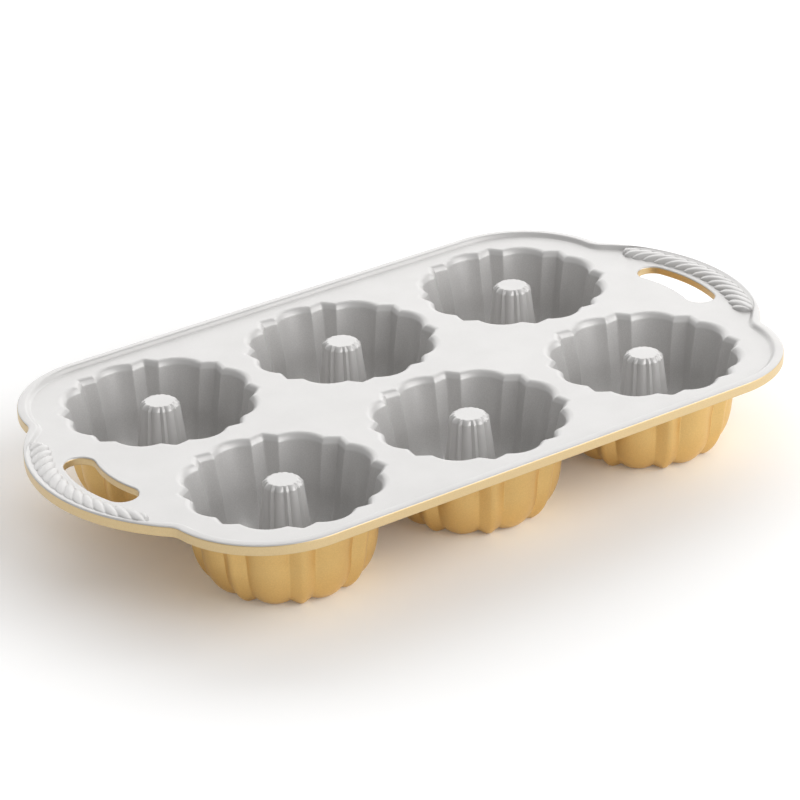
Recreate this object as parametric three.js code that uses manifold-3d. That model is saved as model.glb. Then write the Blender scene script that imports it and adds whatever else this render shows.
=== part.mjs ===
// Mini fluted tube pan: a cast aluminium baking pan with six fluted wells, each with a ribbed centre tube,
// a raised edge lip and two slotted handles trimmed with a twisted rope.
// Millimetres, +Z up. The origin is on the floor under the middle of the pan, with +X along its length.
import * as THREE from 'three';
import { mergeVertices } from 'three/addons/utils/BufferGeometryUtils.js';
import Module from 'manifold-3d';

// Wells: two rows of three
const WELL_SPACING = 115.7;
const WELL_COLUMNS = ['left', 'mid', 'right'];
const WELL_ROWS = ['near', 'far'];
const WALL_RADIUS = 50; // inside, at the foot of the bevelled mouth, on the crest of a wide flute
const WALL_DRAFT = 0.2; // how far the wall leans in for each millimetre of depth
const WALL_STRAIGHT_DEPTH = 24; // below the deck's top, where the wall starts to round into the floor
const WALL_THICKNESS = 2;
const FLOOR_THICKNESS = 2.6;
const FLOOR_RADIUS = 31.5; // of the circle of lowest points
const WELL_DEPTH = 49.3; // inside, from the deck's top to the lowest points
const MOUTH_BEVEL = 2.6; // width and depth of the bevel between the deck and the wall
const FOOT_CUT = 0.6; // how much of the outside's lowest points is taken off flat
const FOOT_WIDTH = 5; // of the flat land that the well stands on

// Flutes: wide round ones and narrow pointed ones take turns round a well
const FLUTE_PAIRS = 8;
const WIDE_FLUTE_ANGLE = 28; // degrees round the well
const FLUTE_DEPTH = 3.3; // from the crest of a wide flute to the cusps beside it
const FLOOR_FLUTE_DEPTH = 2; // the same at the lowest points
const POINTED_FLUTE_EXTRA = 0.5; // how much further out the pointed flutes reach

// Centre tubes: ribbed cones, level with the deck, closed on top and open underneath
const TUBE_TOP_RADIUS = 8; // of the flat top
const TUBE_SHOULDER_RADIUS = 10.5; // on the ribs, where the rounded shoulder ends
const TUBE_SHOULDER_DROP = 2.4; // from the flat top to the end of the shoulder
const TUBE_FOOT_RADIUS = 14.8; // on the ribs, where the tube grows out of the well's floor
const TUBE_FOOT_DEPTH = 40; // below the deck's top
const TUBE_GROOVE_DEPTH = 1; // of the grooves between the ribs
const TUBE_WALL = 3;

// Deck
const DECK_THICKNESS = 3.6;
const SIDE_MARGIN = 14.1; // from the wells' mouths to the long edges
const END_MARGIN = 18.2; // from the wells' mouths to the ends, beside the handles
const CORNER_RADIUS = 56;

// Handles
const HANDLE_PROJECTION = 28.7; // past the deck's ends
const HANDLE_RADIUS = 101.2; // of the handle's outer edge
const HANDLE_BAR_WIDTH = 17.9;
const NOTCH_RADIUS = 10; // of the hollow curve between a corner and a handle
const SLOT_WIDTH = 16.4;
const SLOT_LENGTH = 57.5;

// Edge lip: a low dome along the very edge, which falls to the deck in a soft slope
const LIP_WIDTH = 7.5; // from the edge to the inner foot of the slope
const LIP_WIDTH_BESIDE_ROPE = 2.4; // the same along the handles' ropes
const LIP_CREST_SHARE = 0.53; // how far across its width the crest is
const LIP_HEIGHT = 2.3; // of the crest above the deck
const LIP_FACE_HEIGHT = 1.7; // of the upright outer face above the deck

// Rope trim
const ROPE_WIDTH = 11.6;
const ROPE_HEIGHT = 2.8;
const ROPE_GROOVE_SHARE = 0.45; // height left in the grooves between strands
const ROPE_CLEARANCE = 0.6; // from the edge lip to the rope
const ROPE_HALF_ANGLE = 34; // degrees from the handle's middle to the rope's tips
const ROPE_STRANDS = 16;
const ROPE_SLANT = 54; // degrees between a strand and the line across the rope
const ROPE_TIP_WIDTH = 2;
const ROPE_TIP_DRIFT = 0.3; // how far the tips swing outwards for each millimetre of lost width
const ROPE_COLUMNS = [-1, -0.6, 0, 0.6, 1]; // points across the rope, as shares of half its width
const ROPE_ROWS_PER_STRAND = 4;

// Facets
const ARC_STEP = 7.5; // degrees along the corners and handles
const NOTCH_STEP = 15; // degrees along the notches
const CUT_CLEARANCE = 1; // how far cutting solids run past what they cut

// Sizes that follow from the ones above
const DECK_TOP = WELL_DEPTH + FLOOR_THICKNESS - FOOT_CUT;
const DECK_UNDERSIDE = DECK_TOP - DECK_THICKNESS;
const MOUTH_RADIUS = WALL_RADIUS + MOUTH_BEVEL;
const HALF_WIDTH = WELL_SPACING / 2 + MOUTH_RADIUS + SIDE_MARGIN;
const HALF_LENGTH = WELL_SPACING + MOUTH_RADIUS + END_MARGIN;
const HANDLE_REACH = HALF_LENGTH + HANDLE_PROJECTION;
const HANDLE_CENTRE = HANDLE_REACH - HANDLE_RADIUS;
const SLOT_OUTER_RADIUS = HANDLE_RADIUS - HANDLE_BAR_WIDTH;
const SLOT_MIDDLE_RADIUS = SLOT_OUTER_RADIUS - SLOT_WIDTH / 2;
const ROPE_OUTER_RADIUS = HANDLE_RADIUS - LIP_WIDTH_BESIDE_ROPE - ROPE_CLEARANCE;
const ROPE_MIDDLE_RADIUS = ROPE_OUTER_RADIUS - ROPE_WIDTH / 2;
const CUSP_ANGLE = WIDE_FLUTE_ANGLE / 2;
const FLUTE_PERIOD = 360 / FLUTE_PAIRS;

const SILVER_COAT = { color: 0xe4e2df, roughness: 0.42, metalness: 0.45 };
const GOLD_COAT = { color: 0xc59d60, roughness: 0.38, metalness: 0.6 };

const wasm = await Module();
wasm.setup();

const pan = new THREE.Group();

function addPiece(name, geometry, coat) {
  const piece = new THREE.Mesh(geometry, new THREE.MeshStandardMaterial(coat));
  piece.name = name;
  pan.add(piece);
  return piece;
}

const radians = THREE.MathUtils.degToRad;

// A closed solid from a stack of rings with the same number of points. Each ring runs anticlockwise seen
// from above. The stack either closes on itself or ends in two flat fans.
function solidFromRings(rings, closesOnItself) {
  const count = rings[0].length;
  const positions = rings.flat().flatMap((point) => [point.x, point.y, point.z]);
  const indices = [];
  const spans = closesOnItself ? rings.length : rings.length - 1;
  for (let ring = 0; ring < spans; ring += 1) {
    const here = ring * count;
    const next = ((ring + 1) % rings.length) * count;
    for (let step = 0; step < count; step += 1) {
      const after = (step + 1) % count;
      indices.push(here + step, next + step, here + after);
      indices.push(here + after, next + step, next + after);
    }
  }
  if (!closesOnItself) {
    addFan(positions, indices, rings[0], 0, true);
    addFan(positions, indices, rings.at(-1), (rings.length - 1) * count, false);
  }
  const geometry = new THREE.BufferGeometry();
  geometry.setAttribute('position', new THREE.Float32BufferAttribute(positions, 3));
  geometry.setIndex(indices);
  return geometry;
}

// Closes a ring with triangles to its middle.
function addFan(positions, indices, ring, start, facesUp) {
  const middle = ring.reduce((sum, point) => sum.add(point), new THREE.Vector3()).divideScalar(ring.length);
  const centre = positions.length / 3;
  positions.push(middle.x, middle.y, middle.z);
  for (let step = 0; step < ring.length; step += 1) {
    const here = start + step;
    const after = start + ((step + 1) % ring.length);
    indices.push(...(facesUp ? [centre, here, after] : [centre, after, here]));
  }
}

function toManifold(geometry) {
  const bare = geometry.clone();
  bare.deleteAttribute('normal');
  bare.deleteAttribute('uv');
  const merged = mergeVertices(bare);
  return new wasm.Manifold(new wasm.Mesh({
    numProp: 3,
    vertProperties: new Float32Array(merged.attributes.position.array),
    triVerts: new Uint32Array(merged.index.array),
  }));
}

function toGeometry(solid) {
  const mesh = solid.getMesh();
  const geometry = new THREE.BufferGeometry();
  geometry.setAttribute('position', new THREE.Float32BufferAttribute(mesh.vertProperties, 3));
  geometry.setIndex(Array.from(mesh.triVerts));
  return geometry;
}

// The flute pattern. At an angle in degrees round a well it gives 0 on the crest of a wide flute, 1 on the
// cusps beside it and a little under 0 on the tip of a pointed flute. Wide flutes are round, the
// pointed ones have straight sides.
function flutePattern(angle) {
  const fromCrest = Math.abs(THREE.MathUtils.euclideanModulo(angle + FLUTE_PERIOD / 2, FLUTE_PERIOD)
    - FLUTE_PERIOD / 2);
  if (fromCrest <= CUSP_ANGLE) return (fromCrest / CUSP_ANGLE) ** 2;
  const towardsTip = (fromCrest - CUSP_ANGLE) / (FLUTE_PERIOD / 2 - CUSP_ANGLE);
  return 1 - towardsTip * (1 + POINTED_FLUTE_EXTRA / FLUTE_DEPTH);
}

// The angles that a fluted ring needs: each wide crest, its flanks and cusps, and each pointed tip.
function fluteAngles(flanks) {
  const angles = [];
  for (let pair = 0; pair < FLUTE_PAIRS; pair += 1) {
    const crest = pair * FLUTE_PERIOD;
    angles.push(crest - CUSP_ANGLE);
    if (flanks) angles.push(crest - CUSP_ANGLE / 2);
    angles.push(crest);
    if (flanks) angles.push(crest + CUSP_ANGLE / 2);
    angles.push(crest + CUSP_ANGLE, crest + FLUTE_PERIOD / 2);
  }
  return angles;
}

// One fluted ring round the Z axis. The profile point has a radius and a height on the flutes' crests, a
// flute depth, and the slope of the outward normal below the horizontal, along which the flutes are sunk.
function flutedRing(profilePoint, angles) {
  const { radius, height, depth = 0, slope = 0, lowest = -Infinity } = profilePoint;
  return angles.map((angle) => {
    const sunk = depth * flutePattern(angle);
    const reach = radius - sunk * Math.cos(slope);
    const level = Math.max(height + sunk * Math.sin(slope), lowest);
    return new THREE.Vector3(reach * Math.cos(radians(angle)), reach * Math.sin(radians(angle)), level);
  });
}

// Inside radius of the well's straight wall, on the wide crests, at a depth below the deck's top.
function wallRadiusAt(depth) {
  return WALL_RADIUS - WALL_DRAFT * (depth - MOUTH_BEVEL);
}

const wellAngles = fluteAngles(true);
const tubeAngles = fluteAngles(false);
const wallTop = wallRadiusAt(DECK_THICKNESS);
const wallBottom = wallRadiusAt(WALL_STRAIGHT_DEPTH);
const roundingLevel = DECK_TOP - WALL_STRAIGHT_DEPTH;
const tubeFootLevel = DECK_TOP - TUBE_FOOT_DEPTH;
const floorLevel = DECK_TOP - WELL_DEPTH;

// A quarter of an ellipse that rounds the wall into the floor, or the floor into the tube. The turn runs
// from 0 at the wall through a right angle at the lowest points to a half turn at the tube.
function roundedFloor(turnDegrees, wallReach, tubeReach, lowLevel) {
  const turn = radians(turnDegrees);
  const besideWall = turnDegrees <= 90;
  const side = besideWall ? wallReach - FLOOR_RADIUS : FLOOR_RADIUS - tubeReach;
  const springLevel = besideWall ? roundingLevel : tubeFootLevel;
  const shareOfFloor = 1 - Math.abs(turnDegrees - 90) / 90;
  const endDepth = besideWall ? FLUTE_DEPTH : -TUBE_GROOVE_DEPTH;
  return {
    radius: FLOOR_RADIUS + side * Math.cos(turn),
    height: springLevel - (springLevel - lowLevel) * Math.sin(turn),
    depth: endDepth + (FLOOR_FLUTE_DEPTH - endDepth) * shareOfFloor,
    slope: turn,
  };
}

// A fluted well: a thin cup from the deck's underside to the floor, with a round opening in the middle of
// its floor where the tube stands. The flutes run down the wall, over the floor and up to the tube.
function makeWell() {
  const outerWall = wallBottom + WALL_THICKNESS;
  const innerTube = TUBE_FOOT_RADIUS - TUBE_WALL;
  const inside = (turn) => roundedFloor(turn, wallBottom, TUBE_FOOT_RADIUS, floorLevel);
  const outside = (turn) => ({ ...roundedFloor(turn, outerWall, innerTube, -FOOT_CUT), lowest: 0 });
  const profile = [
    { radius: wallTop + WALL_THICKNESS, height: DECK_UNDERSIDE, depth: FLUTE_DEPTH },
    { radius: outerWall, height: roundingLevel, depth: FLUTE_DEPTH },
    outside(42),
    { ...outside(90), radius: FLOOR_RADIUS + FOOT_WIDTH / 2 },
    { ...outside(90), radius: FLOOR_RADIUS - FOOT_WIDTH / 2 },
    outside(125),
    { ...outside(180), depth: 0 },
    inside(180),
    inside(130),
    inside(75),
    inside(40),
    { radius: wallBottom, height: roundingLevel, depth: FLUTE_DEPTH },
    { radius: wallTop, height: DECK_UNDERSIDE, depth: FLUTE_DEPTH },
  ];
  return solidFromRings(profile.map((point) => flutedRing(point, wellAngles)), true);
}

// A ribbed centre tube: its grooves run where the flutes have their cusps. It is hollow from below.
function makeTube() {
  const shoulderWidth = TUBE_SHOULDER_RADIUS - TUBE_TOP_RADIUS;
  const roundShare = Math.SQRT1_2;
  const profile = [
    { radius: TUBE_TOP_RADIUS, height: DECK_TOP },
    {
      radius: TUBE_TOP_RADIUS + shoulderWidth * roundShare,
      height: DECK_TOP - TUBE_SHOULDER_DROP * (1 - roundShare),
      depth: TUBE_GROOVE_DEPTH * roundShare,
    },
    { radius: TUBE_SHOULDER_RADIUS, height: DECK_TOP - TUBE_SHOULDER_DROP, depth: TUBE_GROOVE_DEPTH },
    { radius: TUBE_FOOT_RADIUS, height: tubeFootLevel, depth: TUBE_GROOVE_DEPTH },
    { radius: TUBE_FOOT_RADIUS - TUBE_WALL, height: tubeFootLevel },
    { radius: TUBE_SHOULDER_RADIUS - TUBE_WALL, height: DECK_TOP - TUBE_WALL },
  ];
  return solidFromRings(profile.map((point) => flutedRing(point, tubeAngles)), false);
}

// What the mouth of a well takes out of the deck: a bevel at the deck's top, then the top of the wall.
function makeMouthCutter() {
  const profile = [
    { radius: MOUTH_RADIUS, height: DECK_TOP + CUT_CLEARANCE },
    { radius: MOUTH_RADIUS, height: DECK_TOP },
    { radius: WALL_RADIUS, height: DECK_TOP - MOUTH_BEVEL },
    { radius: wallTop, height: DECK_UNDERSIDE },
    { radius: wallTop, height: DECK_UNDERSIDE - CUT_CLEARANCE },
  ];
  const rings = profile.map((point) => flutedRing({ ...point, depth: FLUTE_DEPTH }, wellAngles));
  return solidFromRings(rings, false);
}

// Points along an arc, both ends included.
function arcPoints(centreX, centreY, radius, fromDegrees, toDegrees, stepDegrees) {
  const steps = Math.max(1, Math.ceil(Math.abs(toDegrees - fromDegrees) / stepDegrees));
  return Array.from({ length: steps + 1 }, (_, step) => {
    const angle = radians(fromDegrees + ((toDegrees - fromDegrees) * step) / steps);
    return new THREE.Vector2(centreX + radius * Math.cos(angle), centreY + radius * Math.sin(angle));
  });
}

// The far right quarter of the pan's outer edge, from the handle's middle to the middle of the long edge:
// the handle's arc, the notch that touches handle and corner from outside, and the corner.
const cornerX = HALF_LENGTH - CORNER_RADIUS;
const cornerY = HALF_WIDTH - CORNER_RADIUS;

function notchCentre() {
  const span = Math.hypot(cornerX - HANDLE_CENTRE, cornerY);
  const fromHandle = HANDLE_RADIUS + NOTCH_RADIUS;
  const fromCorner = CORNER_RADIUS + NOTCH_RADIUS;
  const cosine = (fromHandle ** 2 + span ** 2 - fromCorner ** 2) / (2 * fromHandle * span);
  const angle = Math.atan2(cornerY, cornerX - HANDLE_CENTRE) - Math.acos(cosine);
  return new THREE.Vector2(HANDLE_CENTRE + fromHandle * Math.cos(angle), fromHandle * Math.sin(angle));
}

const notch = notchCentre();
const handleEndAngle = THREE.MathUtils.radToDeg(Math.atan2(notch.y, notch.x - HANDLE_CENTRE));
const cornerStartAngle = THREE.MathUtils.radToDeg(Math.atan2(notch.y - cornerY, notch.x - cornerX));

const farRightEdge = [
  ...arcPoints(HANDLE_CENTRE, 0, HANDLE_RADIUS, 0, handleEndAngle, ARC_STEP),
  ...arcPoints(notch.x, notch.y, NOTCH_RADIUS, handleEndAngle + 180, cornerStartAngle + 180, NOTCH_STEP)
    .slice(1),
  ...arcPoints(cornerX, cornerY, CORNER_RADIUS, cornerStartAngle, 90, ARC_STEP).slice(1),
];

function mirrored(points, signX, signY) {
  return points.map((point) => new THREE.Vector2(point.x * signX, point.y * signY));
}

function panOutline() {
  const farLeft = mirrored(farRightEdge, -1, 1).reverse();
  const nearLeft = mirrored(farRightEdge, -1, -1).slice(1);
  const nearRight = mirrored(farRightEdge, 1, -1).reverse().slice(0, -1);
  return new THREE.Shape([...farRightEdge, ...farLeft, ...nearLeft, ...nearRight]);
}

// The finger slot: a curved slot that follows the handle's outer edge, with round ends.
function slotOutline(side) {
  const endRadius = SLOT_WIDTH / 2;
  const halfTurn = THREE.MathUtils.radToDeg(Math.asin((SLOT_LENGTH / 2 - endRadius) / SLOT_MIDDLE_RADIUS));
  const endX = HANDLE_CENTRE + SLOT_MIDDLE_RADIUS * Math.cos(radians(halfTurn));
  const endY = SLOT_MIDDLE_RADIUS * Math.sin(radians(halfTurn));
  const points = [
    ...arcPoints(HANDLE_CENTRE, 0, SLOT_OUTER_RADIUS, -halfTurn, halfTurn, ARC_STEP),
    ...arcPoints(endX, endY, endRadius, halfTurn, halfTurn + 180, NOTCH_STEP).slice(1),
    ...arcPoints(HANDLE_CENTRE, 0, SLOT_OUTER_RADIUS - SLOT_WIDTH, halfTurn, -halfTurn, ARC_STEP).slice(1),
    ...arcPoints(endX, -endY, endRadius, 180 - halfTurn, 360 - halfTurn, NOTCH_STEP).slice(1, -1),
  ];
  return new THREE.Path(mirrored(points, side, 1));
}

// The whole cast plate with both slots, before it is divided into deck and handles.
function makePlate() {
  const outline = panOutline();
  outline.holes.push(slotOutline(1), slotOutline(-1));
  const plate = new THREE.ExtrudeGeometry(outline, { depth: DECK_THICKNESS, bevelEnabled: false });
  plate.translate(0, 0, DECK_UNDERSIDE);
  return toManifold(plate);
}

// A block that holds the plate between two planes across its length.
function lengthwiseBlock(fromX, toX) {
  const block = new THREE.BoxGeometry(toX - fromX, 2 * HALF_WIDTH + 2 * CUT_CLEARANCE,
    DECK_THICKNESS + 2 * CUT_CLEARANCE);
  block.translate((fromX + toX) / 2, 0, DECK_TOP - DECK_THICKNESS / 2);
  return toManifold(block);
}

function wellPlaces() {
  return WELL_ROWS.flatMap((row, rowIndex) => WELL_COLUMNS.map((column, columnIndex) => ({
    name: `${row}_${column}`,
    x: (columnIndex - (WELL_COLUMNS.length - 1) / 2) * WELL_SPACING,
    y: (rowIndex - (WELL_ROWS.length - 1) / 2) * WELL_SPACING,
  })));
}

// A lip swept along half of the outer edge, from the middle of one handle to the middle of the other. Each
// section point is a distance in from the edge and a height above the deck. The lip is narrow beside the
// ropes and grows to its full width from their tips to the corners.
function sweepLip(path) {
  const bendShare = (1 - Math.SQRT1_2) / 2;
  const ropeTipY = ROPE_OUTER_RADIUS * Math.sin(radians(ROPE_HALF_ANGLE));
  const cornerStartY = cornerY + CORNER_RADIUS * Math.sin(radians(cornerStartAngle));
  const rings = path.map((point, station) => {
    const before = path[station - 1] ?? mirrored([path[1]], 1, -1)[0];
    const after = path[station + 1] ?? mirrored([path.at(-2)], 1, -1)[0];
    const along = after.clone().sub(before).normalize();
    const inward = new THREE.Vector2(-along.y, along.x);
    const onDeck = THREE.MathUtils.smoothstep(Math.abs(point.y), ropeTipY, cornerStartY);
    const width = THREE.MathUtils.lerp(LIP_WIDTH_BESIDE_ROPE, LIP_WIDTH, onDeck);
    const crest = width * LIP_CREST_SHARE;
    const slope = width - crest;
    const section = [
      [0, 0],
      [0, LIP_FACE_HEIGHT],
      [crest, LIP_HEIGHT],
      [crest + slope / 4, LIP_HEIGHT * (1 - bendShare)],
      [width - slope / 4, LIP_HEIGHT * bendShare],
      [width, 0],
    ];
    return section.map(([distance, height]) => {
      const place = point.clone().addScaledVector(inward, distance);
      return new THREE.Vector3(place.x, place.y, DECK_TOP + height);
    });
  });
  return solidFromRings(rings, false);
}

// The rope trim on one handle. It lies flat on the handle bar and follows its outer edge. A row of the
// surface runs along a strand, from one edge of the rope to the other, so that a few rows make a strand:
// its groove, a flank, its crest and the other flank.
function makeRope(side) {
  const halfLength = radians(ROPE_HALF_ANGLE) * ROPE_MIDDLE_RADIUS;
  const rows = ROPE_STRANDS * ROPE_ROWS_PER_STRAND;
  const positions = [];
  const indices = [];
  for (let row = 0; row <= rows; row += 1) {
    const share = (2 * row) / rows - 1;
    const taper = Math.sqrt(1 - share ** 10);
    const width = ROPE_TIP_WIDTH + (ROPE_WIDTH - ROPE_TIP_WIDTH) * taper;
    const strandPhase = (row % ROPE_ROWS_PER_STRAND) / ROPE_ROWS_PER_STRAND;
    const fullness = ROPE_GROOVE_SHARE + (1 - ROPE_GROOVE_SHARE) * Math.sin(Math.PI * strandPhase);
    const height = ROPE_HEIGHT * (width / ROPE_WIDTH) * fullness;
    ROPE_COLUMNS.forEach((offset) => {
      const lateral = (offset * width) / 2;
      const slide = -lateral * Math.tan(radians(ROPE_SLANT)) * taper;
      const angle = (share * halfLength + slide) / ROPE_MIDDLE_RADIUS;
      const radius = ROPE_MIDDLE_RADIUS + (ROPE_WIDTH - width) * ROPE_TIP_DRIFT + lateral;
      const level = DECK_TOP + height * Math.sqrt(1 - offset ** 2);
      positions.push(side * (HANDLE_CENTRE + radius * Math.cos(angle)), radius * Math.sin(angle), level);
    });
  }
  const columns = ROPE_COLUMNS.length;
  const addTriangle = (a, b, c) => indices.push(...(side > 0 ? [a, b, c] : [a, c, b]));
  for (let row = 0; row < rows; row += 1) {
    const here = row * columns;
    const next = here + columns;
    for (let column = 0; column < columns - 1; column += 1) {
      addTriangle(here + column, here + column + 1, next + column);
      addTriangle(here + column + 1, next + column + 1, next + column);
    }
    addTriangle(here, next, here + columns - 1);
    addTriangle(here + columns - 1, next, next + columns - 1);
  }
  [0, rows].forEach((row) => {
    const start = row * columns;
    for (let column = 1; column < columns - 1; column += 1) {
      if (row === 0) addTriangle(start, start + column + 1, start + column);
      else addTriangle(start, start + column, start + column + 1);
    }
  });
  const geometry = new THREE.BufferGeometry();
  geometry.setAttribute('position', new THREE.Float32BufferAttribute(positions, 3));
  geometry.setIndex(indices);
  return geometry;
}

// Deck: the plate between the handles, with the six mouths cut out.
const plate = makePlate();
let deck = plate.intersect(lengthwiseBlock(-HALF_LENGTH, HALF_LENGTH));
for (const { x, y } of wellPlaces()) {
  deck = deck.subtract(toManifold(makeMouthCutter().translate(x, y, 0)));
}
addPiece('deck', toGeometry(deck), SILVER_COAT);

// Handles: the rest of the plate, a bar round the outer half of each slot.
const pastHandle = HANDLE_REACH + CUT_CLEARANCE;
const leftEnd = plate.intersect(lengthwiseBlock(-pastHandle, -HALF_LENGTH));
const rightEnd = plate.intersect(lengthwiseBlock(HALF_LENGTH, pastHandle));
addPiece('handle_left', toGeometry(leftEnd), SILVER_COAT);
addPiece('handle_right', toGeometry(rightEnd), SILVER_COAT);

// Edge lip: two halves that meet at the middle of each handle, sitting on the deck and the handles.
const farEdge = [...farRightEdge, ...mirrored(farRightEdge, -1, 1).reverse()];
addPiece('rim_far', sweepLip(farEdge), SILVER_COAT);
addPiece('rim_near', sweepLip(mirrored(farEdge, -1, -1)), SILVER_COAT);

addPiece('rope_left', makeRope(-1), SILVER_COAT);
addPiece('rope_right', makeRope(1), SILVER_COAT);

// Wells hang under the deck, and a tube stands in the middle of each.
for (const { name, x, y } of wellPlaces()) {
  addPiece(`well_${name}`, makeWell(), GOLD_COAT).position.set(x, y, 0);
  addPiece(`tube_${name}`, makeTube(), SILVER_COAT).position.set(x, y, 0);
}

export default pan;
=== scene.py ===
import math

import bpy
import numpy as np
from mathutils import Matrix, Vector
from mathutils.geometry import tessellate_polygon


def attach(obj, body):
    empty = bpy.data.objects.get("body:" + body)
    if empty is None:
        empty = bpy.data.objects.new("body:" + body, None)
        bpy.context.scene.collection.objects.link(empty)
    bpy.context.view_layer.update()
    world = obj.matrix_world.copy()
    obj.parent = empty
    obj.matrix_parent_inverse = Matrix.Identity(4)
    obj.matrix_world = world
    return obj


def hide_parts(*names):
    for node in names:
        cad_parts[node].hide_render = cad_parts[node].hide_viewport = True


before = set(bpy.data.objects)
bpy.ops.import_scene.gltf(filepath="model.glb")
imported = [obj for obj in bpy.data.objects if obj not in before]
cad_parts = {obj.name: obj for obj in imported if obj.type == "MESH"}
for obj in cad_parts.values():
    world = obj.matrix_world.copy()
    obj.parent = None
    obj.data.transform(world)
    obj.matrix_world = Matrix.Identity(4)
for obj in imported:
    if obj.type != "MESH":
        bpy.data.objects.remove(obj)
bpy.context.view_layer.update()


# Cast plate: the flat top of the pan with both handle bars, poured as one aluminium casting with the rest.
# It has six fluted mouths with rounded edges and a finger slot in each handle. The top has a pale silver
# non-stick coat and the underside a satin gold one, a little paler on the edge and in the slots.
# The pan's lengths are in millimetres and its angles in degrees.
MM = 0.001
DECK_TOP = 51.3
DECK_UNDERSIDE = 47.7
WELL_SPACING = 115.7
WELL_PLACES = {
    f"{row}_{column}": np.array([across * WELL_SPACING, along * WELL_SPACING, 0.0])
    for row, along in (("near", -0.5), ("far", 0.5))
    for column, across in (("left", -1), ("mid", 0), ("right", 1))
}

FLUTE_PERIOD = 45.0
CUSP_ANGLE = 14.0
FLUTE_DEPTH = 3.3
POINTED_EXTRA = 0.15
POINTED_EXTRA_OUTSIDE = 0.45
CUSP_EASING = 0.7
TIP_EASING_OUTSIDE = 2.5
EASING_POINTS = 9
WALL_LEAN = 0.2
WALL_RADIUS_AT_TOP = 50.52
MOUTH_BEVEL = 2.6
BEVEL_HEAD_EASING = 2.0
BEVEL_FOOT_EASING = 0.7

HALF_LENGTH = 186.5
HALF_WIDTH = 124.55
CORNER_RADIUS = 56.0
HANDLE_REACH = 215.2
HANDLE_RADIUS = 101.2
HANDLE_CENTRE = HANDLE_REACH - HANDLE_RADIUS
NOTCH_RADIUS = 10.0
EDGE_ROUNDING = 0.4
SLOT_OUTER_RADIUS = 83.3
SLOT_WIDTH = 16.4
SLOT_LENGTH = 57.5
SLOT_ROUNDING = 1.1
SLOT_LOWER_ROUNDING = 0.6
SLOT_BEAD_WIDTH = 3.0
SLOT_BEAD_DROP = 0.8
SILVER_ROUND_SLOT = 0.5
SILVER, GOLD, EDGE_GOLD, WELL_SILVER = 0, 1, 2, 3


class Skin:
    """Gathers the patches of one piece's surface in millimetres: points, faces, corner normals and coats."""

    def __init__(self):
        self.points, self.faces, self.normals, self.coats = [], [], [], []
        self.count = 0

    def add_points(self, points):
        """Adds points and returns their numbers, in the same arrangement."""
        numbers = self.count + np.arange(points[..., 0].size).reshape(points.shape[:-1])
        self.points.append(points.reshape(-1, 3))
        self.count += numbers.size
        return numbers

    def add_faces(self, faces, corner_normals, coat):
        """Adds faces by their points' numbers, with a normal for each corner and a coat for each face."""
        self.faces.extend(faces.tolist())
        self.normals.append(corner_normals.reshape(-1, 3))
        self.coats.append(np.broadcast_to(coat, len(faces)))

    def rings(self, points, coat, first_normal=None, last_normal=None, closed=True):
        """A patch through rings of points, seen from outside with the first ring on top. Its normal is the
        cross product of the steps between rings and along them. Either end can be given a normal of its
        own, where it runs smoothly into a flat face. The coat is one for all, or one for each band between
        rings."""
        numbers = self.add_points(points)
        down = np.gradient(points, axis=0)
        along = np.roll(points, -1, 1) - np.roll(points, 1, 1) if closed else np.gradient(points, axis=1)
        normals = np.cross(down, along)
        normals /= np.linalg.norm(normals, axis=2, keepdims=True)
        normals[0] = normals[0] if first_normal is None else first_normal
        normals[-1] = normals[-1] if last_normal is None else last_normal
        after = np.roll(numbers, -1, 1) if closed else numbers[:, 1:]
        here = numbers if closed else numbers[:, :-1]
        next_normals = np.roll(normals, -1, 1) if closed else normals[:, 1:]
        here_normals = normals if closed else normals[:, :-1]
        quads = np.stack([here[:-1], here[1:], after[1:], after[:-1]], -1).reshape(-1, 4)
        corners = np.stack([here_normals[:-1], here_normals[1:], next_normals[1:], next_normals[:-1]], 2)
        bands = np.broadcast_to(coat, len(points) - 1)
        self.add_faces(quads, corners, np.repeat(bands, here.shape[1]))
        return numbers

    def band(self, upper, lower, normal, coat, closed=True):
        """Quads between two lines of points that are already there, all facing one way."""
        quads = np.stack([upper, lower, np.roll(lower, -1), np.roll(upper, -1)], -1)
        quads = quads if closed else quads[:-1]
        self.add_faces(quads, np.broadcast_to(normal, (len(quads), 4, 3)), coat)

    def cap(self, outline, normal, coat):
        """One face over a small outline, anticlockwise seen from outside."""
        self.add_faces(outline[None], np.broadcast_to(normal, (len(outline), 3)), coat)

    def fan(self, ring, centre, normal, coat):
        """Triangles from a ring, anticlockwise seen from outside, to one point in its middle."""
        middle = self.add_points(np.array([centre], float))
        triangles = np.stack([np.broadcast_to(middle, len(ring)), ring, np.roll(ring, -1)], -1)
        self.add_faces(triangles, np.broadcast_to(normal, (len(triangles), 3, 3)), coat)

    def flat(self, loops, facing, coat):
        """Fills the level area inside the first loop and outside the others with triangles."""
        everything = np.concatenate(self.points)
        filled = tessellate_polygon([everything[loop].tolist() for loop in loops])
        triangles = np.concatenate(loops)[np.array(filled)]
        triangles = triangles if facing > 0 else triangles[:, ::-1]
        self.add_faces(triangles, np.broadcast_to((0, 0, facing), (len(triangles), 3, 3)), coat)

    def piece(self, name, materials):
        """Makes the Blender object, in metres, with smooth corner normals and a coat on each face."""
        mesh = bpy.data.meshes.new(name)
        mesh.from_pydata((np.concatenate(self.points) * MM).tolist(), [], self.faces)
        mesh.polygons.foreach_set("use_smooth", np.ones(len(self.faces), bool))
        mesh.polygons.foreach_set("material_index", np.concatenate(self.coats).astype(np.int32))
        mesh.normals_split_custom_set(np.concatenate(self.normals).tolist())
        for material in materials:
            mesh.materials.append(material)
        piece = bpy.data.objects.new(name, mesh)
        bpy.context.scene.collection.objects.link(piece)
        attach(piece, "root")
        return piece


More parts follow.
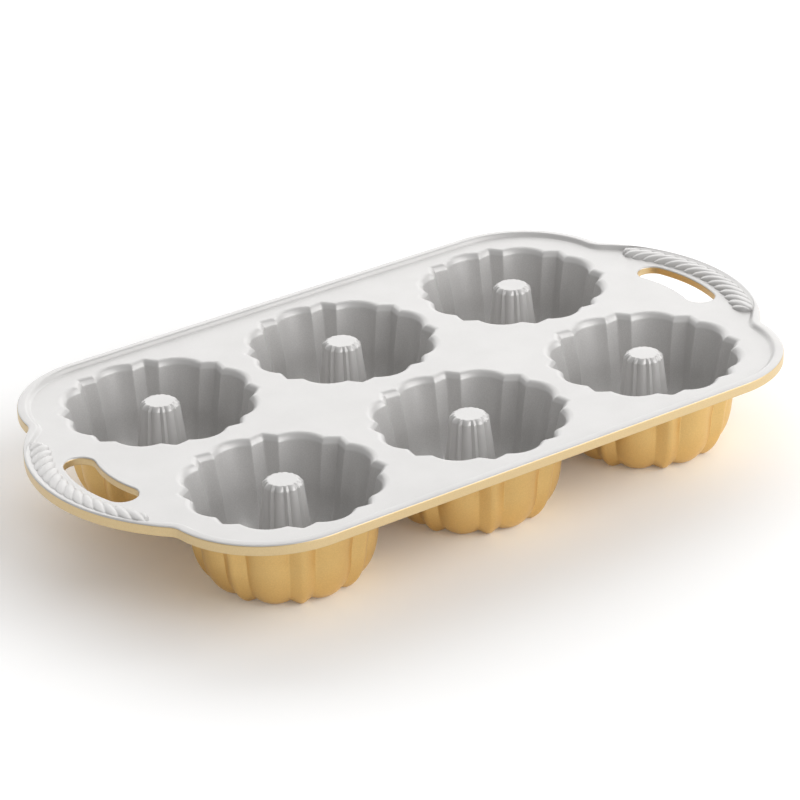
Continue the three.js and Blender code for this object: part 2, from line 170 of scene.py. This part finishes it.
NOISE_SPAN = (0.3, 0.7)
SPECKLE_SCALE = 900
GRAIN_SCALE = 1400
GRAIN_STRENGTH = 0.55
GRAIN_HEIGHT = 0.00006


def fired_coat(name, colour, dapple, dapple_scale, metallic, roughness):
    """A sprayed and fired coat on cast metal: a satin sheen with dapple in colour, broad or fine, speckle in
    roughness and a fine pebbled grain in height."""
    material = bpy.data.materials.new(name)
    material.use_nodes = True
    nodes, links = material.node_tree.nodes, material.node_tree.links
    shader = nodes["Principled BSDF"]
    shader.inputs["Metallic"].default_value = metallic
    place = nodes.new("ShaderNodeTexCoord")

    def noise(scale, detail):
        """Noise that is fixed to the piece: the finer, the larger its scale."""
        texture = nodes.new("ShaderNodeTexNoise")
        texture.inputs["Scale"].default_value = scale
        texture.inputs["Detail"].default_value = detail
        links.new(place.outputs["Object"], texture.inputs["Vector"])
        return texture.outputs["Fac"]

    def spread(source, low, high):
        """The middle span of a noise, stretched evenly over a new range."""
        stretch = nodes.new("ShaderNodeMapRange")
        stretch.inputs["From Min"].default_value, stretch.inputs["From Max"].default_value = NOISE_SPAN
        stretch.inputs["To Min"].default_value = low
        stretch.inputs["To Max"].default_value = high
        links.new(source, stretch.inputs["Value"])
        return stretch.outputs["Result"]

    tint = nodes.new("ShaderNodeMix")
    tint.data_type = "RGBA"
    tint.inputs["A"].default_value = (*colour, 1)
    tint.inputs["B"].default_value = (*dapple, 1)
    links.new(spread(noise(dapple_scale, detail=3), 0, 1), tint.inputs["Factor"])
    links.new(tint.outputs["Result"], shader.inputs["Base Color"])
    links.new(spread(noise(SPECKLE_SCALE, detail=2), *roughness), shader.inputs["Roughness"])
    grain = nodes.new("ShaderNodeBump")
    grain.inputs["Strength"].default_value = GRAIN_STRENGTH
    grain.inputs["Distance"].default_value = GRAIN_HEIGHT
    links.new(noise(GRAIN_SCALE, detail=2), grain.inputs["Height"])
    links.new(grain.outputs["Normal"], shader.inputs["Normal"])
    return material


silver_coat = fired_coat(
    "silver_coat",
    colour=(0.62, 0.61, 0.60), dapple=(0.59, 0.58, 0.57), dapple_scale=45,
    metallic=0.3, roughness=(0.36, 0.44),
)
well_silver_coat = fired_coat(
    "well_silver_coat",
    colour=(0.64, 0.63, 0.62), dapple=(0.57, 0.56, 0.55), dapple_scale=1500,
    metallic=0.3, roughness=(0.36, 0.44),
)
gold_coat = fired_coat(
    "gold_coat",
    colour=(0.805, 0.565, 0.237), dapple=(0.735, 0.515, 0.215), dapple_scale=1500,
    metallic=1.0, roughness=(0.38, 0.47),
)
edge_gold_coat = fired_coat(
    "edge_gold_coat",
    colour=(0.68, 0.52, 0.285), dapple=(0.63, 0.48, 0.262), dapple_scale=1500,
    metallic=0.6, roughness=(0.33, 0.42),
)
COATS = (silver_coat, gold_coat, edge_gold_coat, well_silver_coat)


def flute_pattern(angles, extra, tip_easing):
    """Depth of the flutes as a share, at angles in degrees round a well: 0 on the crest of a wide flute, 1
    on the cusps beside it and a little under 0 on the tip of a pointed flute. A wide flute is a parabola,
    and a pointed one has straight flanks. An average over an angle, which changes evenly from the easing at
    the cusp to the easing at the tip, rounds both."""

    def places(turn):
        """The angle from the nearest wide crest, and the share of the way from the cusp to the tip."""
        from_crest = np.abs((turn + FLUTE_PERIOD / 2) % FLUTE_PERIOD - FLUTE_PERIOD / 2)
        return from_crest, (from_crest - CUSP_ANGLE) / (FLUTE_PERIOD / 2 - CUSP_ANGLE)

    easing = CUSP_EASING + (tip_easing - CUSP_EASING) * np.maximum(places(angles)[1], 0)
    from_crest, to_tip = places(angles[:, None] + easing[:, None] * np.linspace(-1, 1, EASING_POINTS))
    share = np.where(from_crest < CUSP_ANGLE, (from_crest / CUSP_ANGLE) ** 2, 1 - to_tip * (1 + extra))
    return share.mean(axis=1)


# Angles of the points on half a wide flute and half a pointed one, closest at the cusp and at the tip.
half_flute = np.array([0, 2.5, 5, 7.5, 10, 12, 13, 13.6, 14, 14.4, 15, 16.5, 18.5, 20.5, 21.4, 22.0])
one_flute = np.concatenate([half_flute, FLUTE_PERIOD - np.append(half_flute, FLUTE_PERIOD / 2)[:0:-1]])
flute_angles = (np.arange(0, 360, FLUTE_PERIOD)[:, None] + one_flute).ravel()
flutes = flute_pattern(flute_angles, POINTED_EXTRA, CUSP_EASING)
flutes_outside = flute_pattern(flute_angles, POINTED_EXTRA_OUTSIDE, TIP_EASING_OUTSIDE)


def fluted_rings(radius, height, depth, slope, pattern=flutes):
    """Rings round a well. Each has a radius and a height on the crests, and the flutes are sunk by their
    depth along the profile's normal, which points outwards and down by the slope."""
    sunk = np.asarray(depth)[:, None] * pattern
    reach = np.asarray(radius)[:, None] - sunk * np.cos(slope)[:, None]
    level = np.asarray(height)[:, None] + sunk * np.sin(slope)[:, None]
    turn = np.radians(flute_angles)
    return np.stack([reach * np.cos(turn), reach * np.sin(turn), level], -1)


def arc(centre_x, centre_y, radius, start, stop, step=1.5):
    """Points on a circle from one angle to another in degrees, both ends included."""
    count = max(2, math.ceil(abs(stop - start) / step) + 1)
    turn = np.radians(np.linspace(start, stop, count))
    return np.stack([centre_x + radius * np.cos(turn), centre_y + radius * np.sin(turn)], -1)


def pan_edge():
    """The pan's outline, anticlockwise from the right handle's middle. A quarter of it is the handle's arc,
    the small hollow arc that touches handle and corner from outside, and the corner's arc. The other
    quarters mirror it."""
    corner_x, corner_y = HALF_LENGTH - CORNER_RADIUS, HALF_WIDTH - CORNER_RADIUS
    span = math.hypot(corner_x - HANDLE_CENTRE, corner_y)
    handle_side, corner_side = HANDLE_RADIUS + NOTCH_RADIUS, CORNER_RADIUS + NOTCH_RADIUS
    cosine = (handle_side**2 + span**2 - corner_side**2) / (2 * handle_side * span)
    bearing = math.atan2(corner_y, corner_x - HANDLE_CENTRE) - math.acos(cosine)
    notch_x = HANDLE_CENTRE + handle_side * math.cos(bearing)
    notch_y = handle_side * math.sin(bearing)
    handle_end = math.degrees(bearing)
    corner_start = math.degrees(math.atan2(notch_y - corner_y, notch_x - corner_x))
    quarter = np.concatenate([
        arc(HANDLE_CENTRE, 0, HANDLE_RADIUS, 0, handle_end),
        arc(notch_x, notch_y, NOTCH_RADIUS, handle_end + 180, corner_start + 180, step=4)[1:],
        arc(corner_x, corner_y, CORNER_RADIUS, corner_start, 90)[1:],
    ])
    far_left = (quarter * (-1, 1))[::-1]
    return np.concatenate([quarter, far_left, -quarter[1:], -far_left[:-1]])


def outward(loop):
    """Unit directions out of an anticlockwise loop, square to the line between each point's neighbours."""
    along = np.roll(loop, -1, 0) - np.roll(loop, 1, 0)
    across = np.stack([along[:, 1], -along[:, 0]], -1)
    return across / np.linalg.norm(across, axis=1, keepdims=True)


def carried(loop, inset, height):
    """A profile carried along a loop: each profile point has a distance in from the loop and a height, and
    both may change along the loop."""
    inset, height = (np.asarray(values, float) for values in (inset, height))
    inset, height = (values[:, None] if values.ndim == 1 else values for values in (inset, height))
    place = loop - inset[..., None] * outward(loop)
    return np.concatenate([place, np.broadcast_to(height, place.shape[:2])[..., None]], -1)


def finger_slot(side):
    """A curved slot that follows the handle's outer edge, with round ends, anticlockwise."""
    end_radius = SLOT_WIDTH / 2
    middle_radius = SLOT_OUTER_RADIUS - end_radius
    half_turn = math.degrees(math.asin((SLOT_LENGTH / 2 - end_radius) / middle_radius))
    end_x = HANDLE_CENTRE + middle_radius * math.cos(math.radians(half_turn))
    end_y = middle_radius * math.sin(math.radians(half_turn))
    loop = np.concatenate([
        arc(HANDLE_CENTRE, 0, SLOT_OUTER_RADIUS, -half_turn, half_turn)[:-1],
        arc(end_x, end_y, end_radius, half_turn, half_turn + 180, step=6)[:-1],
        arc(HANDLE_CENTRE, 0, SLOT_OUTER_RADIUS - SLOT_WIDTH, half_turn, -half_turn)[:-1],
        arc(end_x, -end_y, end_radius, 180 - half_turn, 360 - half_turn, step=6)[:-1],
    ])
    return loop if side > 0 else -loop


plate = Skin()
UP, DOWN = np.array([0, 0, 1.0]), np.array([0, 0, -1.0])
edge_loop = pan_edge()
quarter_turn = np.radians(np.linspace(0, 90, 7))
edge_inset = np.concatenate([[0, 0], EDGE_ROUNDING * (1 - np.cos(quarter_turn[1:]))])
edge_height = DECK_UNDERSIDE + np.concatenate([
    [DECK_TOP - DECK_UNDERSIDE, EDGE_ROUNDING],
    EDGE_ROUNDING * (1 - np.sin(quarter_turn[1:])),
])
edge = plate.rings(carried(edge_loop, edge_inset, edge_height), EDGE_GOLD, last_normal=DOWN)
top_loops, underside_loops = [edge[0]], [edge[-1]]

bead_share = np.linspace(0, 1, 7)[:-1]
slot_inset = np.concatenate([
    -SLOT_LOWER_ROUNDING - (SLOT_BEAD_WIDTH - SLOT_LOWER_ROUNDING) * (1 - bead_share),
    -SLOT_LOWER_ROUNDING * (1 - np.sin(quarter_turn)),
    -SLOT_ROUNDING * (1 - np.cos(quarter_turn)),
])
slot_height = np.concatenate([
    DECK_UNDERSIDE - SLOT_BEAD_DROP * (1 - np.cos(bead_share * math.pi)) / 2,
    DECK_UNDERSIDE - SLOT_BEAD_DROP + SLOT_LOWER_ROUNDING * (1 - np.cos(quarter_turn)),
    DECK_TOP - SLOT_ROUNDING * (1 - np.sin(quarter_turn)),
])
silver_ends = DECK_TOP - SLOT_ROUNDING * SILVER_ROUND_SLOT
slot_coats = np.where(slot_height[:-1] < silver_ends, EDGE_GOLD, SILVER)
for side in (-1, 1):
    slot = plate.rings(carried(finger_slot(side), slot_inset, slot_height), slot_coats, DOWN, UP)
    top_loops.append(slot[-1])
    underside_loops.append(slot[0])


def eased_corner(before, corner, after, reach, count=6):
    """Points round a corner of a profile: a curve that leaves one line and meets the other at the same
    distance from the corner, pulled towards the corner in between."""
    before, corner, after = (np.array(point, float) for point in (before, corner, after))
    start = corner + (before - corner) / np.linalg.norm(before - corner) * reach
    stop = corner + (after - corner) / np.linalg.norm(after - corner) * reach
    share = np.linspace(0, 1, count)[:, None]
    return (1 - share) ** 2 * start + 2 * share * (1 - share) * corner + share**2 * stop


wall_at_underside = (WALL_RADIUS_AT_TOP - WALL_LEAN * (DECK_TOP - DECK_UNDERSIDE), DECK_UNDERSIDE)
bevel_foot = (WALL_RADIUS_AT_TOP - WALL_LEAN * MOUTH_BEVEL, DECK_TOP - MOUTH_BEVEL)
bevel_head = (bevel_foot[0] + MOUTH_BEVEL, DECK_TOP)
deck_beyond = (bevel_head[0] + MOUTH_BEVEL, DECK_TOP)
mouth_profile = np.concatenate([
    [wall_at_underside],
    eased_corner(wall_at_underside, bevel_foot, bevel_head, BEVEL_FOOT_EASING),
    eased_corner(bevel_foot, bevel_head, deck_beyond, BEVEL_HEAD_EASING, count=10),
])
mouth_flutes = np.full(len(mouth_profile), FLUTE_DEPTH)
mouth = fluted_rings(*mouth_profile.T, mouth_flutes, np.zeros(len(mouth_profile)))
for place in WELL_PLACES.values():
    rim = plate.rings(mouth + place, SILVER, last_normal=UP)
    top_loops.append(rim[-1])
    underside_loops.append(rim[0])
plate.flat(top_loops, 1, SILVER)
plate.flat(underside_loops, -1, GOLD)
cast_plate = plate.piece("cast_plate", COATS)
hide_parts("deck", "handle_left", "handle_right")


# Wells: six thin cast cups that hang under the plate, joined to it by a small fillet. The flutes run down
# the wall, over the rounded floor and up to the tube. They have the silver non-stick coat inside, speckled
# more finely than on the deck, and the gold one outside.
WALL_THICKNESS = 2.0
ROUNDING_DEPTH = 24.0
WELL_DEPTH = 49.3
FLOOR_RADIUS = 31.5
FLOOR_FLUTE_DEPTH = 2.0
LEAN_EASING = 2.0
FOOT_CUT = 0.8
ROOT_FILLET = 2.5
FILLET_TURN = 75
TUBE_FOOT_RADIUS = 14.8
TUBE_FOOT_DEPTH = 40.0
TUBE_GROOVE_DEPTH = 1.0
TUBE_WALL = 3.0
BEND_POINTS = 17
CLIMB_POINTS = 11


def cup_profile(wall_at_top, low_depth, tube_radius, wall_depths):
    """Half the section of a cup, from the wall's top to the tube's foot: a leaning wall, then a curve whose
    reach shrinks by the cosine of a turn while its depth grows by the sine, and the same curve again from
    the lowest points up to the tube. The wall's lean fades out below the straight part."""
    wall = np.asarray(wall_depths, float)
    turn = np.radians(np.linspace(0, 90, BEND_POINTS)[1:])
    bend = ROUNDING_DEPTH + (low_depth - ROUNDING_DEPTH) * np.sin(turn)
    wall_bottom = wall_at_top - WALL_LEAN * ROUNDING_DEPTH
    eased = WALL_LEAN * LEAN_EASING * (1 - np.exp((ROUNDING_DEPTH - bend) / LEAN_EASING))
    reach = FLOOR_RADIUS + (wall_bottom - eased - FLOOR_RADIUS) * np.cos(turn)
    climb = np.radians(np.linspace(90, 180, CLIMB_POINTS)[1:])
    rise = TUBE_FOOT_DEPTH + (low_depth - TUBE_FOOT_DEPTH) * np.sin(climb)
    inner = FLOOR_RADIUS + (FLOOR_RADIUS - tube_radius) * np.cos(climb)
    radius = np.concatenate([wall_at_top - WALL_LEAN * wall, reach, inner])
    depth = np.concatenate([wall, bend, rise])
    slope = np.concatenate([np.zeros(len(wall)), turn, climb])
    floor_share = np.concatenate([np.zeros(len(wall)), np.sin(turn), np.sin(climb)])
    end_depth = np.where(slope <= math.pi / 2, FLUTE_DEPTH, -TUBE_GROOVE_DEPTH)
    flute = end_depth + (FLOOR_FLUTE_DEPTH - end_depth) * floor_share
    return radius, DECK_TOP - depth, flute, slope


deck_depth = DECK_TOP - DECK_UNDERSIDE
wall_steps = np.linspace(deck_depth, ROUNDING_DEPTH, 9)
inside_rings = fluted_rings(*cup_profile(WALL_RADIUS_AT_TOP, WELL_DEPTH, TUBE_FOOT_RADIUS, wall_steps))
outside_steps = np.linspace(deck_depth + ROOT_FILLET, ROUNDING_DEPTH, 8)
outside_top = WALL_RADIUS_AT_TOP + WALL_THICKNESS
hollow_radius = TUBE_FOOT_RADIUS - TUBE_WALL
out_radius, out_height, out_flute, out_slope = cup_profile(
    outside_top, DECK_TOP + FOOT_CUT, hollow_radius, outside_steps
)
fillet_turn = np.radians(np.linspace(0, FILLET_TURN, 6))
fillet_radius = out_radius[0] + ROOT_FILLET * (1 - np.sin(fillet_turn))
fillet_height = DECK_UNDERSIDE - ROOT_FILLET * (1 - np.cos(fillet_turn))
outside_rings = fluted_rings(
    np.concatenate([fillet_radius, out_radius]),
    np.concatenate([fillet_height, out_height]),
    np.concatenate([np.full(len(fillet_radius), FLUTE_DEPTH), out_flute[:-1], [0]]),
    np.concatenate([np.zeros(len(fillet_radius)), out_slope]),
    flutes_outside,
)
# The lowest points are cut off level, and the pan stands on these small lands.
outside_rings[..., 2] = np.maximum(outside_rings[..., 2], 0)
for name, place in WELL_PLACES.items():
    cup = Skin()
    outside = cup.rings(outside_rings + place, GOLD)
    inside = cup.rings(inside_rings[::-1] + place, WELL_SILVER)
    cup.band(outside[-1], inside[0], UP, GOLD)
    cup.band(inside[-1], outside[0], UP, GOLD)
    well = cup.piece(f"fluted_well_{name}", COATS)
    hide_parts(f"well_{name}")


# Centre tubes: a ribbed cone in the middle of each well, cast with it, that leaves the hole in the cake. It
# is closed on top with a bevelled crown, level with the deck, and hollow from below. A groove runs down it
# wherever the flutes have a cusp.
TUBE_TOP = DECK_TOP
TUBE_TOP_RADIUS = 7.6
TUBE_SHOULDER_RADIUS = 10.5
TUBE_SHOULDER_DROP = 2.4
SHOULDER_BULGE = 1.5
CROWN_GROOVE = 0.4
HOLLOW_TOP_RADIUS = 7.5
HOLLOW_ROUNDING = 2.0
shoulder = np.radians(np.linspace(0, 90, 11))
shoulder_width = TUBE_SHOULDER_RADIUS - TUBE_TOP_RADIUS
side_share = np.linspace(0, 1, 9)[1:]
tube_foot = DECK_TOP - TUBE_FOOT_DEPTH
tube_radius = np.concatenate([
    TUBE_TOP_RADIUS + shoulder_width * np.sin(shoulder) ** SHOULDER_BULGE,
    TUBE_SHOULDER_RADIUS + (TUBE_FOOT_RADIUS - TUBE_SHOULDER_RADIUS) * side_share,
])
tube_height = np.concatenate([
    TUBE_TOP - TUBE_SHOULDER_DROP * (1 - np.maximum(np.cos(shoulder), 0) ** SHOULDER_BULGE),
    TUBE_TOP - TUBE_SHOULDER_DROP + (tube_foot - TUBE_TOP + TUBE_SHOULDER_DROP) * side_share,
])
groove_share = CROWN_GROOVE + (1 - CROWN_GROOVE) * np.sin(shoulder)
tube_grooves = TUBE_GROOVE_DEPTH * np.concatenate([groove_share, np.ones(len(side_share))])
tube_rings = fluted_rings(tube_radius, tube_height, tube_grooves, np.zeros(len(tube_radius)))
hollow_top = TUBE_TOP - TUBE_WALL
hollow_round = np.radians(np.linspace(0, 90, 6))
hollow_rings = fluted_rings(
    np.concatenate([
        [hollow_radius],
        HOLLOW_TOP_RADIUS - HOLLOW_ROUNDING + HOLLOW_ROUNDING * np.cos(hollow_round),
    ]),
    np.concatenate([
        [tube_foot],
        hollow_top - HOLLOW_ROUNDING + HOLLOW_ROUNDING * np.sin(hollow_round),
    ]),
    np.zeros(len(hollow_round) + 1),
    np.zeros(len(hollow_round) + 1),
)
for name, place in WELL_PLACES.items():
    cone = Skin()
    skin = cone.rings(tube_rings + place, SILVER, first_normal=UP)
    hollow = cone.rings(hollow_rings + place, GOLD, last_normal=DOWN)
    cone.fan(skin[0], place + UP * TUBE_TOP, UP, SILVER)
    cone.band(skin[-1], hollow[0], DOWN, GOLD)
    cone.fan(hollow[-1][::-1], place + UP * hollow_top, DOWN, GOLD)
    tube = cone.piece(f"ribbed_tube_{name}", COATS)
    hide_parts(f"tube_{name}")


# Edge lip: a low dome cast along the whole edge of the plate, which falls to the deck in a soft slope. Along
# the handles it is narrow and meets the rope trim in a low shelf. The silver coat ends in a clean line on
# the outer corner, and the gold begins there.
LIP_WIDTH = 7.5
LIP_WIDTH_ON_HANDLE = 2.4
LIP_HEIGHT = 2.3
LIP_FACE_HEIGHT = 1.8
LIP_CREST = 4.0
LIP_CORNER = 0.8
LIP_GROWS = (40.0, 75.5)
ROPE_ENDS = (51.0, 58.0)
BESIDE_ROPE = (2.2, 3.7)
BESIDE_ROPE_HEIGHT = (1.9, 1.5)
SHELF_SHARES = (0, 0.5, 0.9, 1)
DOME_START = 0.2
GOLD_BANDS = 4
lip_corner = eased_corner((0, 0), (0, LIP_FACE_HEIGHT), (LIP_CREST, LIP_HEIGHT), LIP_CORNER, count=7)
dome = np.linspace(DOME_START, 1, 9)
fall = np.linspace(0, 1, 13)[1:]
lip_inset = np.concatenate([
    [0],
    lip_corner[:, 0],
    LIP_CREST * dome,
    LIP_CREST + (LIP_WIDTH - LIP_CREST) * fall,
])
lip_height = np.concatenate([
    [0],
    lip_corner[:, 1],
    LIP_FACE_HEIGHT + (LIP_HEIGHT - LIP_FACE_HEIGHT) * np.sin(dome * math.pi / 2),
    LIP_HEIGHT * (1 + np.cos(fall * math.pi)) / 2,
])


def smooth_share(values, start, stop):
    """0 before the start and 1 after the stop, with a smooth rise between: three squares less two cubes."""
    share = np.clip((values - start) / (stop - start), 0, 1)
    return share**2 * (3 - 2 * share)


from_middle = np.abs(edge_loop[:, 1])
on_deck = smooth_share(from_middle, *LIP_GROWS)
lip_width = LIP_WIDTH_ON_HANDLE + (LIP_WIDTH - LIP_WIDTH_ON_HANDLE) * on_deck
lip_inset = lip_inset[:, None] * lip_width / LIP_WIDTH
beside_rope = 1 - smooth_share(from_middle, *ROPE_ENDS)
past_crest = len(lip_inset) - len(fall)
shelf_start = LIP_CREST * LIP_WIDTH_ON_HANDLE / LIP_WIDTH
shelf = np.interp(fall, SHELF_SHARES, (shelf_start, *BESIDE_ROPE, BESIDE_ROPE[1]))
shelf_height = np.interp(fall, SHELF_SHARES, (LIP_HEIGHT, *BESIDE_ROPE_HEIGHT, 0))
lip_inset[past_crest:] += (shelf[:, None] - lip_inset[past_crest:]) * beside_rope
lip_height = DECK_TOP + np.repeat(lip_height[:, None], len(edge_loop), 1)
lip_height[past_crest:] += (DECK_TOP + shelf_height[:, None] - lip_height[past_crest:]) * beside_rope
lip_coats = np.where(np.arange(len(lip_height) - 1) < GOLD_BANDS, EDGE_GOLD, SILVER)
lip = Skin()
lip_skin = lip.rings(carried(edge_loop, lip_inset, lip_height)[::-1], lip_coats[::-1], first_normal=UP)
lip.band(lip_skin[-1], lip_skin[0], DOWN, SILVER)
edge_lip = lip.piece("edge_lip", COATS)
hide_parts("rim_near", "rim_far")


# Rope trim: a twisted rope cast in relief on each handle bar, between the lip and the finger slot, coated
# silver like the deck. Its strands are plump and lie on the slant, and at both ends its inner edge turns
# out to the lip.
ROPE_WIDTH = 11.6
ROPE_HEIGHT = 2.8
ROPE_BASE = 1.6
ROPE_MIDDLE_RADIUS = 92.4
ROPE_HALF_ANGLE = 34.5
ROPE_SLANT = 46.0
ROPE_SINK = 0.2
ROPE_TIP_WIDTH = 4.0
STRAND_PITCH = 7.35
STRAND_SIDE_FALL = 0.42
ROPE_SIDE_FALL = 0.97
PLUMPNESS = 0.7
BASE_STARTS = -0.3
TIP_TURN_POWER = 16
END_FALL_POWER = 60
POINTS_ALONG, POINTS_ACROSS = 401, 37


def twisted_rope(side):
    """A rope in relief. One parameter runs along the rope from end to end and the other across it. A strand
    lies on the slant, so that its place along the rope shifts evenly with its place across. Its height is a
    power of one less shares of the squares of its places in the strand and across the rope, above a base
    that rises towards the lip. At both ends the inner edge turns out to the lip and the height falls to
    nothing."""
    share = np.linspace(-1, 1, POINTS_ALONG)[:, None]
    across = np.sin(np.linspace(-math.pi / 2, math.pi / 2, POINTS_ACROSS))
    width = ROPE_TIP_WIDTH + (ROPE_WIDTH - ROPE_TIP_WIDTH) * np.sqrt(1 - share**TIP_TURN_POWER)
    from_axis = (ROPE_WIDTH - width) / 2 + across * width / 2
    along = share * math.radians(ROPE_HALF_ANGLE) * ROPE_MIDDLE_RADIUS
    turns = (along + from_axis * math.tan(math.radians(ROPE_SLANT))) / STRAND_PITCH
    in_strand = 2 * (turns % 1) - 1
    end_fall = np.sqrt(1 - share**END_FALL_POWER)
    swell = np.maximum(1 - STRAND_SIDE_FALL * in_strand**2 - ROPE_SIDE_FALL * across**2, 0)
    strand = swell**PLUMPNESS * end_fall
    base = ROPE_BASE * smooth_share(across, BASE_STARTS, 1) * end_fall - ROPE_SINK
    level = DECK_TOP + base + (ROPE_HEIGHT - base) * strand
    angle = along / ROPE_MIDDLE_RADIUS
    radius = ROPE_MIDDLE_RADIUS + from_axis
    return np.stack([side * (HANDLE_CENTRE + radius * np.cos(angle)), radius * np.sin(angle), level], -1)


for side, name in ((-1, "left"), (1, "right")):
    rope = Skin()
    strands = twisted_rope(side)
    strands = strands if side > 0 else strands[::-1]
    strands = strands[:, ::-1]
    numbers = rope.rings(strands, SILVER, closed=False)
    rope.band(numbers[:, 0], numbers[:, -1], DOWN, SILVER, closed=False)
    rope.cap(numbers[0], UP, SILVER)
    rope.cap(numbers[-1, ::-1], UP, SILVER)
    rope_trim = rope.piece(f"rope_trim_{name}", (silver_coat,))
    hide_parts(f"rope_{name}")


# Studio: a plain pale floor, a white surround and two large soft lights. The floor's glow is painted light:
# it glows faintly beside the pan and more strongly away from it, so that it fades to white and lights the
# pan from below, and where it glows least it leaves a painted shade round the pan. The camera stands where
# the photograph was taken from. Lengths here are in metres.
FLOOR_HALF = 8.0
FLOOR_SHADE = (0.92, 0.92, 0.92, 1)
FLOOR_ROUGHNESS = 0.9
GLOW_DISTANCE = (0.12, 0.42)
GLOW_STRENGTH = (0.06, 0.36)
SURROUND_STRENGTH = 0.38
WHITE = (1, 1, 1, 1)
floor_corners = FLOOR_HALF * np.array([(-1, -1, 0), (1, -1, 0), (1, 1, 0), (-1, 1, 0)])
floor_mesh = bpy.data.meshes.new("studio_floor")
floor_mesh.from_pydata(floor_corners.tolist(), [], [(0, 1, 2, 3)])
floor = bpy.data.objects.new("studio_floor", floor_mesh)
bpy.context.scene.collection.objects.link(floor)
floor_paint = bpy.data.materials.new("studio_floor")
floor_paint.use_nodes = True
floor_nodes, floor_links = floor_paint.node_tree.nodes, floor_paint.node_tree.links
floor_shader = floor_nodes["Principled BSDF"]
floor_shader.inputs["Base Color"].default_value = FLOOR_SHADE
floor_shader.inputs["Roughness"].default_value = FLOOR_ROUGHNESS
# Painted light: the floor's emission makes it glow, weakest beside the pan for a painted shade there and
# strongest far away, and it also lights the underside from below.
floor_shader.inputs["Emission Color"].default_value = WHITE
floor_place = floor_nodes.new("ShaderNodeTexCoord")
distance = floor_nodes.new("ShaderNodeVectorMath")
distance.operation = "LENGTH"
glow = floor_nodes.new("ShaderNodeMapRange")
glow.interpolation_type = "SMOOTHSTEP"
glow.inputs["From Min"].default_value, glow.inputs["From Max"].default_value = GLOW_DISTANCE
glow.inputs["To Min"].default_value, glow.inputs["To Max"].default_value = GLOW_STRENGTH
floor_links.new(floor_place.outputs["Object"], distance.inputs[0])
floor_links.new(distance.outputs["Value"], glow.inputs["Value"])
floor_links.new(glow.outputs["Result"], floor_shader.inputs["Emission Strength"])
floor_mesh.materials.append(floor_paint)

surround = bpy.data.worlds.new("studio_surround")
surround.use_nodes = True
surround.node_tree.nodes["Background"].inputs["Color"].default_value = WHITE
surround.node_tree.nodes["Background"].inputs["Strength"].default_value = SURROUND_STRENGTH
bpy.context.scene.world = surround


def soft_light(name, place, size, power):
    """A rectangular area light that faces the middle of the pan."""
    lamp = bpy.data.lights.new(name, "AREA")
    lamp.shape = "RECTANGLE"
    lamp.size, lamp.size_y = size
    lamp.energy = power
    light = bpy.data.objects.new(name, lamp)
    bpy.context.scene.collection.objects.link(light)
    turn = (-Vector(place)).to_track_quat("-Z", "Y")
    light.matrix_world = Matrix.Translation(place) @ turn.to_matrix().to_4x4()


soft_light("key_light", place=(0.99, -1.42, 1.0), size=(2.2, 2.2), power=36)
soft_light("backdrop_light", place=(1.19, 1.70, 1.2), size=(4.0, 2.5), power=51)

VIEW_AZIMUTH, VIEW_ELEVATION, VIEW_ROLL = (math.radians(angle) for angle in (-34.617, 25.886, -2.182))
VIEW_DISTANCE = 1.75661
VIEW_TARGET = (-0.0181, -0.0220, DECK_TOP * MM)
VIEW_LENS, VIEW_SENSOR = 152.034, 36.0
camera = bpy.data.objects.new("photo_view", bpy.data.cameras.new("photo_view"))
camera.data.lens, camera.data.sensor_width = VIEW_LENS, VIEW_SENSOR
turned = (
    Matrix.Translation(VIEW_TARGET)
    @ Matrix.Rotation(VIEW_AZIMUTH, 4, "Z")
    @ Matrix.Rotation(math.pi / 2 - VIEW_ELEVATION, 4, "X")
)
stepped_back = Matrix.Translation((0, 0, VIEW_DISTANCE))
camera.matrix_world = turned @ stepped_back @ Matrix.Rotation(VIEW_ROLL, 4, "Z")
bpy.context.scene.collection.objects.link(camera)
bpy.context.scene.camera = camera
bpy.context.scene.view_settings.view_transform = "Standard"
